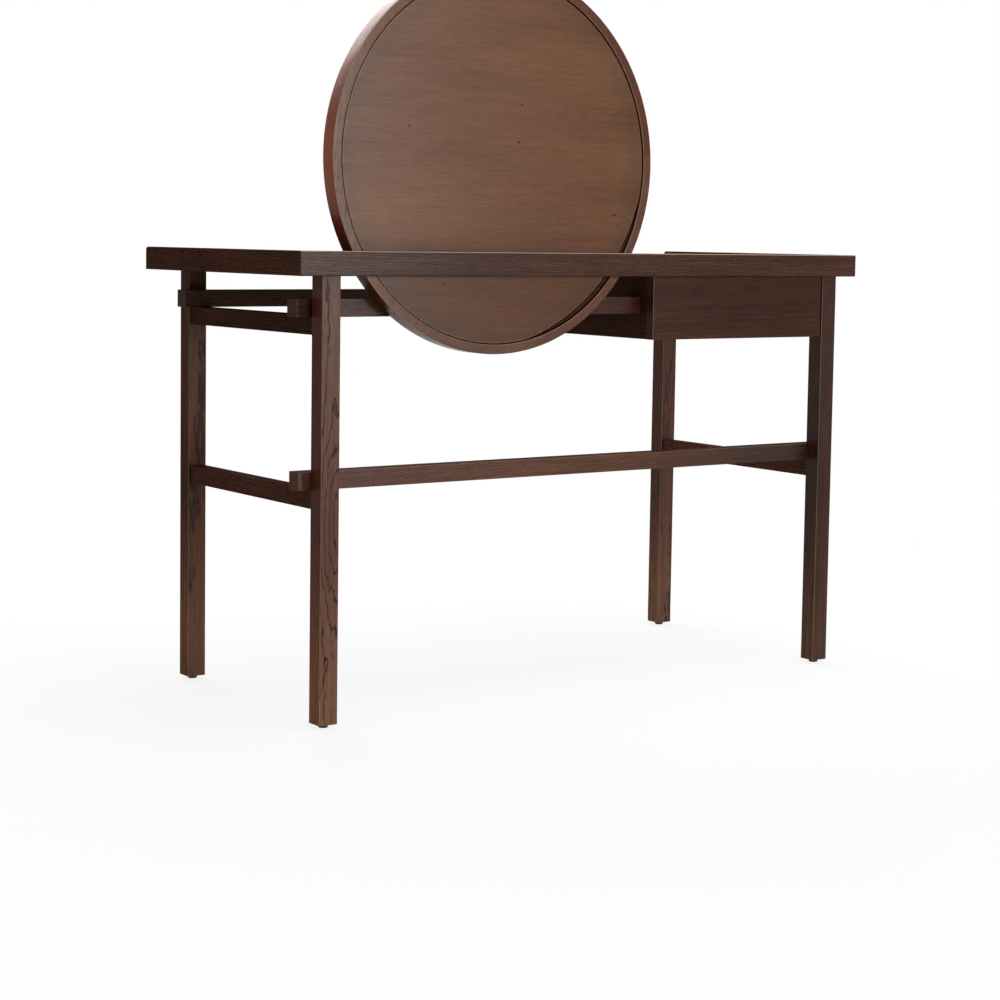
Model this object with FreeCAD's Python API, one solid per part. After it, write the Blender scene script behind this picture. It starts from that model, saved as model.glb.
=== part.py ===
import FreeCAD
import Part
import math
import os

# Writing desk with a round mirror that stands in a slot behind the writing surface.
# Millimetres. X to the right of the person who sits at it, Y away from them, Z up.
# The origin is on the floor under the middle of the top.

# Whole desk
desk_length = 1200.0
desk_depth = 550.0
desk_height = 770.0

# Top: a writing surface that lies lower than the rims round three sides of it
top_thickness = 40.0
surface_recess = 12.0
rim_thickness = 13.0
rim_arris = 2.0
rim_corner_radius = 6.0
surface_arris = 1.5
rim_dowel_radius = 3.0
rim_dowel_in_rim = 8.0
rim_dowel_in_panel = 16.0
rim_dowel_inset = 88.0
rim_dowel_count = 4

# Legs and glides
leg_width = 34.0
leg_depth = 33.0
end_overhang = 44.0
back_overhang = 6.0
front_overhang = 50.0
arris = 1.0
glide_radius = 8.0
glide_height = 6.0
glide_stem_radius = 3.0
glide_stem_length = 14.0

# Cross rails, which run from front to back between two legs
cross_rail_thickness = 27.0
cross_rail_height = 31.0
lower_cross_rail_top = 385.0
tenon_thickness = 12.0
tenon_height = 20.0
tenon_length = 14.0

# Long rails, which lie on the cross rails and stick out past the legs
long_rail_thickness = 30.0
long_rail_height = 30.0
long_rail_drop = 34.0
rail_end_projection = 23.0
mirror_rail_clearance = 1.5
mirror_rail_housing = 3.0

# Dowels
dowel_radius = 4.0
dowel_in_leg = 18.0
dowel_in_top = 16.0
dowel_in_rail = 14.0
dowel_in_panel = 9.0
leg_dowel_spacing = 16.0
case_dowel_inset = 28.0

# Drawer case under the left end of the top
case_height = 112.0
case_panel_thickness = 19.0
case_inset = 3.0
inner_side_thickness = 16.0
inner_side_recess = 4.0
case_floor_thickness = 9.0
case_floor_lift = 6.0
case_floor_tongue = 6.0
finger_gap = 26.0
cleat_height = 44.0
block_size = 18.0
block_length = 50.0
block_inset = 30.0

# Drawer
front_panel_thickness = 19.0
front_gap = 2.0
overlay_gap = 1.0
finger_bevel = 7.0
drawer_wall = 12.0
drawer_lift = 6.0
drawer_top_gap = 7.0
drawer_back_gap = 10.0
drawer_floor_thickness = 6.0
drawer_floor_lift = 8.0
drawer_groove_depth = 6.0
drawer_dowel_radius = 3.0
drawer_dowel_in_side = 8.0
drawer_dowel_in_wall = 14.0
drawer_dowel_spacing = 16.0
bumper_radius = 6.0
bumper_gap = 0.5
bumper_inset = 40.0

# Drawer runners: a channel on the case and a bar in it on the drawer
runner_space = 13.0
runner_height = 34.0
runner_back_gap = 14.0
channel_wall = 1.6
channel_gap = 1.0
bar_gap = 0.6

# Mirror
mirror_diameter = 646.0
mirror_depth = 33.0
mirror_sink = 171.0
mirror_travel_left = 51.0
mirror_travel_right = 30.0
ring_width = 16.0
ring_arris = 1.5
ring_joint_angles = (62.0, 176.5, 309.0, 422.0)
back_recess = 2.0
back_groove = 2.5
back_panel_thickness = 9.0
glass_recess = 2.0
glass_thickness = 4.0
glass_tuck = 18.0
slot_clearance = 1.5
slot_end_gap = 2.0

# The lower left of the mirror's back panel is trimmed along a flatter curve,
# and a narrow strip fills most of the gap that this leaves
trim_angle = 224.0
trim_half_angle = 34.0
trim_depth = 8.0
strip_half_angle = 27.0
strip_gap = 2.5
strip_recess = 1.0

# Hangers that carry the mirror on the back upper rail
hanger_spacing = 184.0
hanger_width = 44.0
hanger_thickness = 3.0
hanger_bend = 4.0
hanger_drop = 42.0
hanger_lip = 24.0
pad_thickness = 2.0
pad_gap = 0.3
pad_height = 16.0
pad_margin = 4.0

# Screws
screw_radius = 2.0
screw_head_radius = 4.0
screw_hold = 10.0
small_screw_hold = 8.0
hanger_screw_spacing = 24.0
hanger_screw_inset = 9.0
runner_screw_inset = 40.0
runner_screw_count = 3
front_screw_side_inset = 60.0
front_screw_end_inset = 16.0

# Cutting tools reach this far past the faces that they cut
overrun = 5.0

X = FreeCAD.Vector(1, 0, 0)
Y = FreeCAD.Vector(0, 1, 0)
Z = FreeCAD.Vector(0, 0, 1)

# Top and legs
half_length = desk_length / 2
half_depth = desk_depth / 2
inner_x = half_length - rim_thickness
inner_y = half_depth - rim_thickness
top_bottom = desk_height - top_thickness
surface = desk_height - surface_recess
leg_outer = half_length - end_overhang
leg_inner = leg_outer - leg_width
leg_middle = (leg_inner + leg_outer) / 2
back_leg_back = half_depth - back_overhang
back_leg_front = back_leg_back - leg_depth
front_leg_front = front_overhang - half_depth
front_leg_back = front_leg_front + leg_depth

# The mirror stands just inside the back rim, and its rail just in front of the mirror
mirror_back = inner_y - slot_clearance
mirror_front = mirror_back - mirror_depth
mirror_radius = mirror_diameter / 2
mirror_z = desk_height - mirror_sink + mirror_radius
ring_inner = mirror_radius - ring_width
core_front = mirror_front + glass_recess + glass_thickness
panel_back = mirror_back - back_recess
core_back = panel_back - back_panel_thickness
slot_front = mirror_front - slot_clearance

# The slot starts beside the right legs and is as long as the mirror and its travel need
half_chord = math.sqrt(mirror_radius ** 2 - (mirror_z - surface) ** 2)
slot_right = leg_inner - slot_end_gap
mirror_x = slot_right - slot_clearance - mirror_travel_right - half_chord
slot_left = mirror_x - half_chord - mirror_travel_left - slot_clearance

# Long rails
rail_top = top_bottom - long_rail_drop
rail_bottom = rail_top - long_rail_height
rail_middle = (rail_top + rail_bottom) / 2
mirror_rail_top = rail_top - mirror_rail_housing
mirror_rail_bottom = rail_bottom - mirror_rail_housing
mirror_rail_middle = (mirror_rail_top + mirror_rail_bottom) / 2
rail_end = leg_outer + rail_end_projection
front_rail_y = (front_leg_back, front_leg_back + long_rail_thickness)
mirror_rail_back = mirror_front - mirror_rail_clearance
mirror_rail_front = mirror_rail_back - long_rail_thickness
mirror_rail_y = (mirror_rail_front, mirror_rail_back)
stretcher_y = (back_leg_front - long_rail_thickness, back_leg_front)
stretcher_middle = lower_cross_rail_top + long_rail_height / 2

# Drawer case, which reaches from the left legs to the slot
case_left = -leg_inner
case_right = slot_left
case_bottom = top_bottom - case_height
case_back = back_leg_back - case_inset
case_back_inside = case_back - case_panel_thickness
outer_side = -leg_outer + case_inset
outer_side_inside = outer_side + case_panel_thickness
inner_side = case_right - inner_side_recess
inner_side_inside = inner_side - inner_side_thickness
front_face = front_leg_front + case_inset
front_inside = front_face + front_panel_thickness
case_floor = case_bottom + case_floor_lift
case_floor_top = case_floor + case_floor_thickness

# Drawer box and runners
box_left = case_left + runner_space
box_right = inner_side_inside - runner_space
box_bottom = case_floor_top + drawer_lift
box_top = top_bottom - block_size - drawer_top_gap
box_back = case_back_inside - drawer_back_gap
drawer_floor = box_bottom + drawer_floor_lift
drawer_floor_top = drawer_floor + drawer_floor_thickness
runner_z = (box_bottom + box_top) / 2
runner_y = (front_leg_back, case_back_inside - runner_back_gap)
bar_depth = runner_space - channel_wall - bar_gap
bar_height = runner_height - 2 * channel_wall - 2 * bar_gap


def point(x, y, z):
    return FreeCAD.Vector(x, y, z)


def middle(span):
    return sum(span) / len(span)


def about(centre, size):
    """The span of this size that lies evenly about a centre."""
    return (centre - size / 2, centre + size / 2)


def box(x, y, z):
    """A block between two values on each axis."""
    size = [high - low for low, high in (x, y, z)]
    return Part.makeBox(*size, point(x[0], y[0], z[0]))


def rod(radius, start, axis, length):
    return Part.makeCylinder(radius, length, start, axis)


def extrude(points, way):
    """A flat outline pushed along a way."""
    return Part.Face(Part.makePolygon(points + points[:1])).extrude(way)


def runs_along(edge, axes):
    first, last = (vertex.Point for vertex in (edge.Vertexes[0], edge.Vertexes[-1]))
    if first.isEqual(last, 0):
        return False
    way = (last - first).normalize()
    return any(way.cross(axis).Length < arris / desk_length for axis in axes)


def soften(shape, radius, *axes):
    """Rounds the straight edges that run along the axes."""
    return shape.makeFillet(radius, [edge for edge in shape.Edges if runs_along(edge, axes)])


def edges_at(shape, axis, **place):
    """The edges along an axis whose middles lie at the values that are given."""
    found = []
    for edge in shape.Edges:
        centre = edge.BoundBox.Center
        here = all(abs(getattr(centre, name) - value) < arris / 2 for name, value in place.items())
        if here and runs_along(edge, (axis,)):
            found.append(edge)
    return found


def spread(low, high, edge, count):
    """Places between two ends, evenly spaced and kept away from the ends."""
    step = (high - low - 2 * edge) / (count - 1)
    return [low + edge + step * number for number in range(count)]


def screw(head, axis, length):
    """A countersunk screw whose head is flush with the face at this point."""
    sink = screw_head_radius - screw_radius
    cone = Part.makeCone(screw_head_radius, screw_radius, sink, head, axis)
    shank = rod(screw_radius, head + axis * sink, axis, length - sink)
    return cone.fuse(shank)


pieces = {}
groups = {}


def cut_from(names, tool):
    for name in names:
        pieces[name] = pieces[name].cut(tool)


def join(group, names, fastener):
    """Adds a dowel or screw to its group and makes its hole in the pieces that it joins."""
    cut_from(names, fastener)
    groups.setdefault(group, []).append(fastener)


def make_writing_surface():
    panel = box((-inner_x, inner_x), (-half_depth, inner_y), (top_bottom, surface))
    panel = panel.makeFillet(surface_arris, edges_at(panel, X, y=-half_depth))
    slot = box(
        (slot_left, slot_right),
        (slot_front, inner_y + overrun),
        (top_bottom - overrun, surface + overrun),
    )
    pieces["top_panel"] = panel.cut(slot)


def make_rims():
    """One rounded block, hollowed, and then cut apart along the mitres."""
    blank = box(about(0, desk_length), about(0, desk_depth), (top_bottom, desk_height))
    front_tops = edges_at(blank, X, y=-half_depth, z=desk_height)
    blank = blank.makeFillet(rim_corner_radius, front_tops)
    rounded = edges_at(blank, X, y=half_depth)
    for x in (-half_length, half_length):
        rounded += edges_at(blank, Y, x=x)
        rounded += edges_at(blank, Z, x=x)
    blank = blank.makeFillet(rim_arris, rounded)
    hollow = box(
        (-inner_x, inner_x),
        (-half_depth - overrun, inner_y),
        (top_bottom - overrun, desk_height + overrun),
    )
    frame = blank.cut(hollow)
    outer_x = half_length + overrun
    outer_y = half_depth + overrun
    mitre_x = half_length - half_depth
    outlines = {
        "rim_back": ((-outer_x, outer_y), (outer_x, outer_y), (mitre_x, 0), (-mitre_x, 0)),
        "rim_left": ((-outer_x, outer_y), (-mitre_x, 0), (-mitre_x, -outer_y), (-outer_x, -outer_y)),
        "rim_right": ((outer_x, outer_y), (mitre_x, 0), (mitre_x, -outer_y), (outer_x, -outer_y)),
    }
    for name, outline in outlines.items():
        corners = [point(x, y, top_bottom) for x, y in outline]
        pieces[name] = frame.common(extrude(corners, Z * top_thickness))


def make_rim_dowels():
    z = middle((top_bottom, surface))
    reach = rim_dowel_in_rim + rim_dowel_in_panel
    for y in spread(-half_depth, inner_y, rim_dowel_inset, rim_dowel_count):
        for name, side in (("rim_left", -1), ("rim_right", 1)):
            start = point(side * (inner_x + rim_dowel_in_rim), y, z)
            dowel = rod(rim_dowel_radius, start, X * -side, reach)
            join("rim_dowels", [name, "top_panel"], dowel)
    for x in spread(-inner_x, slot_left, rim_dowel_inset, rim_dowel_count):
        dowel = rod(rim_dowel_radius, point(x, inner_y + rim_dowel_in_rim, z), -Y, reach)
        join("rim_dowels", ["rim_back", "top_panel"], dowel)


def make_legs():
    rows = (("front", front_leg_front, front_leg_back), ("back", back_leg_front, back_leg_back))
    for row, front, back in rows:
        for side_name, side in (("left", -1), ("right", 1)):
            name = f"leg_{row}_{side_name}"
            leg = box(about(side * leg_middle, leg_width), (front, back), (glide_height, top_bottom))
            pieces[name] = soften(leg, arris, Z)
            y = middle((front, back))
            for x in about(side * leg_middle, leg_dowel_spacing):
                start = point(x, y, top_bottom - dowel_in_leg)
                dowel = rod(dowel_radius, start, Z, dowel_in_leg + dowel_in_top)
                join("leg_dowels", [name, "top_panel"], dowel)
            join("foot_glides", [name], make_glide(side * leg_middle, y))


def make_glide(x, y):
    foot = rod(glide_radius, point(x, y, 0), Z, glide_height)
    rim = [edge for edge in foot.Edges if edge.Closed and edge.BoundBox.ZMax < arris / 2]
    foot = foot.makeFillet(arris, rim)
    return foot.fuse(rod(glide_stem_radius, point(x, y, 0), Z, glide_height + glide_stem_length))


def make_cross_rails():
    rails = (
        ("cross_rail_lower_left", "left", -leg_middle, lower_cross_rail_top),
        ("cross_rail_lower_right", "right", leg_middle, lower_cross_rail_top),
        ("cross_rail_upper_right", "right", leg_middle, rail_bottom),
    )
    for name, side_name, x, top in rails:
        z = (top - cross_rail_height, top)
        rail = box(about(x, cross_rail_thickness), (front_leg_back, back_leg_front), z)
        tenon = box(
            about(x, tenon_thickness),
            (front_leg_back - tenon_length, back_leg_front + tenon_length),
            about(middle(z), tenon_height),
        )
        pieces[name] = soften(rail, arris, Y).fuse(tenon).removeSplitter()
        cut_from([f"leg_front_{side_name}", f"leg_back_{side_name}"], tenon)


def make_long_rails():
    rails = (
        ("rail_upper_front", inner_side, front_rail_y, rail_bottom),
        ("rail_upper_back", inner_side, mirror_rail_y, mirror_rail_bottom),
        ("stretcher_back", -rail_end, stretcher_y, lower_cross_rail_top),
    )
    for name, start, y, bottom in rails:
        rail = box((start, rail_end), y, (bottom, bottom + long_rail_height))
        pieces[name] = soften(rail, arris, X, Y, Z)

    # The back upper rail is let into its cross rail
    cut_from(["cross_rail_upper_right"], pieces["rail_upper_back"])


def make_rail_dowels():
    """Upright dowels into the cross rails, and level ones into the legs."""
    seats = (
        ("rail_upper_front", "cross_rail_upper_right", leg_middle, front_rail_y, rail_bottom),
        ("rail_upper_back", "cross_rail_upper_right", leg_middle, mirror_rail_y, mirror_rail_bottom),
        ("stretcher_back", "cross_rail_lower_right", leg_middle, stretcher_y, lower_cross_rail_top),
        ("stretcher_back", "cross_rail_lower_left", -leg_middle, stretcher_y, lower_cross_rail_top),
    )
    for rail, cross_rail, x, y, z in seats:
        start = point(x, middle(y), z - dowel_in_rail)
        join("rail_dowels", [rail, cross_rail], rod(dowel_radius, start, Z, 2 * dowel_in_rail))
    sides = (
        ("rail_upper_front", "leg_front_right", leg_middle, front_leg_back, rail_middle),
        ("stretcher_back", "leg_back_right", leg_middle, back_leg_front, stretcher_middle),
        ("stretcher_back", "leg_back_left", -leg_middle, back_leg_front, stretcher_middle),
    )
    for rail, leg, x, y, z in sides:
        start = point(x, y - dowel_in_rail / 2, z)
        join("rail_dowels", [rail, leg], rod(dowel_radius, start, Y, dowel_in_rail))


def make_case():
    height = (case_bottom, top_bottom)
    between_legs = (front_leg_back, back_leg_front)
    back = box((case_left, case_right), (case_back_inside, case_back), height)
    pieces["case_back_panel"] = soften(back, arris, X, Y, Z)
    outer = box((outer_side, outer_side_inside), between_legs, height)
    pieces["case_outer_side"] = soften(outer, arris, Y)
    inner = box(
        (inner_side_inside, inner_side),
        (front_inside + overlay_gap, case_back_inside),
        height,
    )
    pieces["case_inner_side"] = soften(inner, arris, Y)
    cleat_z = about(runner_z, cleat_height)
    pieces["runner_cleat"] = box((outer_side_inside, case_left), between_legs, cleat_z)

    # The floor sits in grooves and passes behind the left legs' inner faces
    floor_z = (case_floor, case_floor_top)
    floor_front = front_inside + finger_gap
    floor = box(
        (case_left, inner_side_inside + case_floor_tongue),
        (floor_front, case_back_inside + case_floor_tongue),
        floor_z,
    )
    wing = box(
        (outer_side_inside - case_floor_tongue, case_left),
        (floor_front, back_leg_front),
        floor_z,
    )
    pieces["case_bottom_panel"] = floor.fuse(wing).removeSplitter()
    sides = ["case_back_panel", "case_outer_side", "case_inner_side"]
    cut_from(sides, pieces["case_bottom_panel"])


def make_case_dowels():
    outer_x = middle((outer_side, outer_side_inside))
    inner_side_x = middle((inner_side, inner_side_inside))
    back_y = middle((case_back, case_back_inside))
    for z in (case_bottom + case_dowel_inset, top_bottom - case_dowel_inset):
        for leg, y in (("leg_front_left", front_leg_back), ("leg_back_left", back_leg_front)):
            start = point(outer_x, y - dowel_in_rail, z)
            dowel = rod(dowel_radius, start, Y, 2 * dowel_in_rail)
            join("case_dowels", ["case_outer_side", leg], dowel)
        start = point(inner_side_x, case_back_inside - dowel_in_rail, z)
        dowel = rod(dowel_radius, start, Y, dowel_in_rail + dowel_in_panel)
        join("case_dowels", ["case_back_panel", "case_inner_side"], dowel)

    # These stand between the levels above, so that dowels in the leg don't meet
    edge = case_dowel_inset + 2 * dowel_radius + arris
    for z in (case_bottom + edge, top_bottom - edge):
        start = point(case_left - dowel_in_rail, back_y, z)
        dowel = rod(dowel_radius, start, X, 2 * dowel_in_rail)
        join("case_dowels", ["case_back_panel", "leg_back_left"], dowel)
    rails = (
        ("rail_upper_front", front_rail_y, rail_middle),
        ("rail_upper_back", mirror_rail_y, mirror_rail_middle),
    )
    for rail, y, z in rails:
        start = point(inner_side - dowel_in_panel, middle(y), z)
        dowel = rod(dowel_radius, start, X, dowel_in_panel + dowel_in_rail)
        join("case_dowels", [rail, "case_inner_side"], dowel)


def make_case_blocks():
    """Blocks in the case's top corners, with screws that hold it to the top."""
    z = (top_bottom - block_size, top_bottom)
    front_y = front_leg_back + block_inset
    back_y = back_leg_front - block_inset
    places = [
        ((x, x + block_size), y)
        for x in (outer_side_inside, inner_side_inside - block_size)
        for y in ((front_y, front_y + block_length), (back_y - block_length, back_y))
    ]
    case_middle = middle((case_left, inner_side_inside))
    places.append((about(case_middle, block_length), (case_back_inside - block_size, case_back_inside)))
    for number, (x, y) in enumerate(places):
        name = f"case_block_{number}"
        pieces[name] = box(x, y, z)
        fastener = screw(point(middle(x), middle(y), top_bottom - block_size), Z, block_size + screw_hold)
        join("block_screws", [name, "top_panel"], fastener)
        groups.setdefault("case_blocks", []).append(pieces.pop(name))


def make_bumpers():
    """Rubber stops on the inside of the case, which the drawer's back meets."""
    length = drawer_back_gap - bumper_gap
    for x in (box_left + bumper_inset, box_right - bumper_inset):
        bumper = rod(bumper_radius, point(x, case_back_inside - length, runner_z), Y, length)
        groups.setdefault("drawer_bumpers", []).append(bumper)


def make_drawer():
    front = box(
        (case_left + front_gap, case_right),
        (front_face, front_inside),
        (case_bottom, top_bottom - front_gap),
    )
    front = soften(front, arris, X, Y, Z)
    bevel_start = case_left + finger_gap
    bevel = [
        point(bevel_start, front_inside - finger_bevel, case_bottom),
        point(bevel_start, front_inside - finger_bevel, case_bottom - overrun),
        point(bevel_start, front_inside + overrun, case_bottom - overrun),
        point(bevel_start, front_inside + overrun, case_bottom + finger_bevel),
        point(bevel_start, front_inside, case_bottom + finger_bevel),
    ]
    bevel_length = inner_side_inside - finger_gap - bevel_start
    pieces["drawer_front"] = front.cut(extrude(bevel, X * bevel_length))

    z = (box_bottom, box_top)
    inside_x = (box_left + drawer_wall, box_right - drawer_wall)
    inside_y = (front_inside + drawer_wall, box_back - drawer_wall)
    walls = {
        "drawer_side_left": ((box_left, inside_x[0]), (front_inside, box_back)),
        "drawer_side_right": ((inside_x[1], box_right), (front_inside, box_back)),
        "drawer_inner_front": (inside_x, (front_inside, inside_y[0])),
        "drawer_back": (inside_x, (inside_y[1], box_back)),
    }
    for name, (x, y) in walls.items():
        pieces[name] = box(x, y, z)
    pieces["drawer_bottom"] = box(
        (inside_x[0] - drawer_groove_depth, inside_x[1] + drawer_groove_depth),
        (inside_y[0] - drawer_groove_depth, inside_y[1] + drawer_groove_depth),
        (drawer_floor, drawer_floor_top),
    )
    cut_from(walls, pieces["drawer_bottom"])
    make_drawer_dowels(inside_x)
    make_front_screws(inside_x)


def make_drawer_dowels(inside_x):
    corners = (
        ("drawer_inner_front", front_inside + drawer_wall / 2),
        ("drawer_back", box_back - drawer_wall / 2),
    )
    length = drawer_dowel_in_side + drawer_dowel_in_wall
    for wall, y in corners:
        for number in (1, 2):
            z = box_top - number * drawer_dowel_spacing
            start = point(inside_x[0] - drawer_dowel_in_side, y, z)
            dowel = rod(drawer_dowel_radius, start, X, length)
            join("drawer_dowels", ["drawer_side_left", wall], dowel)
            start = point(inside_x[1] + drawer_dowel_in_side, y, z)
            dowel = rod(drawer_dowel_radius, start, -X, length)
            join("drawer_dowels", ["drawer_side_right", wall], dowel)


def make_front_screws(inside_x):
    for x in (inside_x[0] + front_screw_side_inset, inside_x[1] - front_screw_side_inset):
        for z in (drawer_floor_top + front_screw_end_inset, box_top - front_screw_end_inset):
            fastener = screw(point(x, front_inside + drawer_wall, z), -Y, drawer_wall + screw_hold)
            join("front_screws", ["drawer_inner_front", "drawer_front"], fastener)


def make_runners():
    """A channel on each side of the case and a bar in it on each side of the drawer."""
    sides = (
        ("left", 1, case_left, box_left, "runner_cleat", "drawer_side_left"),
        ("right", -1, inner_side_inside, box_right, "case_inner_side", "drawer_side_right"),
    )
    screw_y = spread(*runner_y, runner_screw_inset, runner_screw_count)
    for name, way, case_x, drawer_x, case_piece, drawer_piece in sides:
        channel_name = f"runner_channel_{name}"
        bar_name = f"runner_bar_{name}"
        channel_x = sorted((case_x, drawer_x - way * channel_gap))
        web_x = case_x + way * channel_wall
        channel = box(channel_x, runner_y, about(runner_z, runner_height))
        hollow_x = sorted((web_x, drawer_x + way * overrun))
        hollow_y = (runner_y[0] - overrun, runner_y[1] + overrun)
        hollow = box(hollow_x, hollow_y, about(runner_z, runner_height - 2 * channel_wall))
        pieces[channel_name] = channel.cut(hollow)
        bar_x = sorted((drawer_x, drawer_x - way * bar_depth))
        pieces[bar_name] = soften(box(bar_x, runner_y, about(runner_z, bar_height)), bar_gap, Y)
        for y in screw_y:
            fastener = screw(point(web_x, y, runner_z), X * -way, channel_wall + screw_hold)
            join("channel_screws", [channel_name, case_piece], fastener)
            head = point(drawer_x - way * bar_depth, y, runner_z)
            fastener = screw(head, X * way, bar_depth + small_screw_hold)
            join("bar_screws", [bar_name, drawer_piece], fastener)


def disc(radius, low, high, offset=0):
    """A disc of the mirror between two depths, shifted along the trim direction if asked."""
    shift = polar(offset, trim_angle)
    return rod(radius, point(mirror_x, low, mirror_z) + shift, Y, high - low)


def polar(distance, angle):
    """A step from the mirror's middle, with the angle counted from the right and upwards."""
    turn = math.radians(angle)
    return point(distance * math.cos(turn), 0, distance * math.sin(turn))


def sector(angles, reach, low, high):
    """A wedge of the mirror between the first and the last of these angles."""
    centre = point(mirror_x, low, mirror_z)
    return extrude([centre] + [centre + polar(reach, angle) for angle in angles], Y * (high - low))


def make_mirror_ring():
    ring = disc(mirror_radius, mirror_front, mirror_back)
    ring = ring.cut(disc(ring_inner, mirror_front - overrun, mirror_back + overrun))
    ring = ring.makeFillet(ring_arris, [edge for edge in ring.Edges if edge.Closed])
    names = ("mirror_ring_upper", "mirror_ring_lower", "mirror_ring_right")
    for name, first, last in zip(names, ring_joint_angles, ring_joint_angles[1:]):
        angles = (first, middle((first, last)), last)
        wedge = sector(angles, mirror_diameter, mirror_front, mirror_back)
        pieces[name] = ring.common(wedge)


def make_mirror_panels():
    core = disc(ring_inner, core_front, core_back)
    pieces["mirror_core"] = core
    glass = disc(ring_inner, mirror_front + glass_recess, core_front)
    below = box(
        about(mirror_x, mirror_diameter),
        (mirror_front - overrun, core_front + overrun),
        (mirror_z - mirror_diameter, surface - glass_tuck),
    )
    pieces["mirror_glass"] = glass.cut(below)

    # The trimming curve crosses the panel's edge at the half angle and cuts in to the depth
    radius = ring_inner - back_groove
    kept = radius - trim_depth
    spare = kept - radius * math.cos(math.radians(trim_half_angle))
    offset = (radius ** 2 - kept ** 2) / (2 * spare)
    trim_radius = kept + offset
    panel = disc(radius, core_back, panel_back)
    trimmer = disc(trim_radius, core_back, panel_back, -offset)
    pieces["mirror_back_panel"] = panel.common(trimmer)
    strip_back = panel_back - strip_recess
    strip = disc(ring_inner - strip_gap, core_back, strip_back)
    strip = strip.cut(disc(trim_radius + strip_gap, core_back - overrun, strip_back + overrun, -offset))
    angles = (trim_angle - strip_half_angle, trim_angle, trim_angle + strip_half_angle)
    pieces["mirror_back_strip"] = strip.common(sector(angles, mirror_diameter, core_back, strip_back))


def make_hangers():
    """Steel hooks on the mirror's core, which hang over the back upper rail."""
    arm_bottom = mirror_rail_top + pad_thickness
    arm_top = arm_bottom + hanger_thickness
    hook_front = mirror_rail_front - pad_gap - pad_thickness - hanger_thickness
    plate_front = core_front - hanger_thickness
    hook_inside = (hook_front + hanger_thickness, plate_front)
    pad_z = about(mirror_rail_middle, pad_height)
    groups["mirror_hangers"] = []
    groups["hanger_pads"] = []
    for number, x in enumerate(about(mirror_x, hanger_spacing)):
        width = about(x, hanger_width)
        outer = box(width, (hook_front, core_front), (mirror_rail_top - hanger_drop, arm_top))
        outer = outer.makeFillet(hanger_bend, edges_at(outer, X, z=arm_top))
        low = mirror_rail_top - hanger_drop - overrun
        wide = about(x, hanger_width + overrun)
        inner = box(wide, hook_inside, (low, arm_bottom))
        inner = inner.makeFillet(hanger_bend - hanger_thickness, edges_at(inner, X, z=arm_bottom))
        under_lip = (low, mirror_rail_top - hanger_lip)
        short_lip = box(wide, (hook_front - overrun, plate_front), under_lip)
        name = f"mirror_hanger_{number}"
        pieces[name] = outer.cut(inner).cut(short_lip)
        for screw_x in about(x, hanger_screw_spacing):
            head = point(screw_x, plate_front, mirror_rail_top - hanger_drop + hanger_screw_inset)
            fastener = screw(head, Y, hanger_thickness + screw_hold)
            join("hanger_screws", [name, "mirror_core"], fastener)
        groups["mirror_hangers"].append(pieces.pop(name))

        pad_x = about(x, hanger_width - 2 * pad_margin)
        top_y = (mirror_rail_front + pad_margin, mirror_rail_back - pad_margin)
        groups["hanger_pads"] += [
            box(pad_x, top_y, (mirror_rail_top, arm_bottom)),
            box(pad_x, (hook_inside[0], mirror_rail_front - pad_gap), pad_z),
            box(pad_x, (mirror_rail_back + pad_gap, plate_front), pad_z),
        ]


make_writing_surface()
make_rims()
make_rim_dowels()
make_legs()
make_cross_rails()
make_long_rails()
make_rail_dowels()
make_case()
make_case_dowels()
make_case_blocks()
make_bumpers()
make_drawer()
make_runners()
make_mirror_ring()
make_mirror_panels()
make_hangers()

os.makedirs("parts", exist_ok=True)
for name, members in groups.items():
    pieces[name] = Part.makeCompound(members)
for name, shape in pieces.items():
    shape.exportStep(f"parts/{name}.step")
    print(name, len(shape.Solids), "solids", round(shape.Volume), "mm3", shape.isValid())
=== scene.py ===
import bpy
import math
from functools import partial
from mathutils import Euler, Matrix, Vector


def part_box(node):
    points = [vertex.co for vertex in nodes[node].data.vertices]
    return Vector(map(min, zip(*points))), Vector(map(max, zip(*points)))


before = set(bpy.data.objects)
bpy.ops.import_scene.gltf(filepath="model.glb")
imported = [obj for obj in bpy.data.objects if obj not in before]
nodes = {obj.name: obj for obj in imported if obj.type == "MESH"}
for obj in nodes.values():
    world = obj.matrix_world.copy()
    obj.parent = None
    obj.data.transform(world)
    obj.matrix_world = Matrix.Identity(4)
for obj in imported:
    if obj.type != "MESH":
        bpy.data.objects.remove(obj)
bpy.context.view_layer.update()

# Writing desk with a round mirror. Metres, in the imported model's own frame:
# X to the right of the person who sits at it, Y away from them, Z up.

scene = bpy.context.scene

# Axes by number
ALONG_X, ALONG_Y, ALONG_Z = 0, 1, 2

# Grain scales, in repeats per metre: the first is along the grain, the second across it
PORE_SCALE = (45.0, 900.0)
FIBRE_SCALE = (9.0, 380.0)
CLOUD_SCALE = (2.2, 16.0)
WOBBLE_SCALE = (4.5, 22.0)
JITTER_SCALE = (70.0, 420.0)
SEED_STEP = Vector((3.71, 5.13, 7.77))


# Small tools for shader trees

def add(tree, kind, sockets=(), **settings):
    """A node with its settings, and with its sockets linked or set by number or name."""
    made = tree.nodes.new("ShaderNode" + kind)
    for name, value in settings.items():
        setattr(made, name, value)
    for key, value in dict(sockets).items():
        if isinstance(value, bpy.types.NodeSocket):
            tree.links.new(value, made.inputs[key])
        else:
            made.inputs[key].default_value = value
    return made


def maths(tree, operation, *values):
    return add(tree, "Math", dict(enumerate(values)), operation=operation).outputs[0]


def vector_maths(tree, operation, *values):
    made = add(tree, "VectorMath", dict(enumerate(values)), operation=operation)
    return made.outputs["Value" if operation in ("LENGTH", "DISTANCE", "DOT_PRODUCT") else "Vector"]


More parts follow.
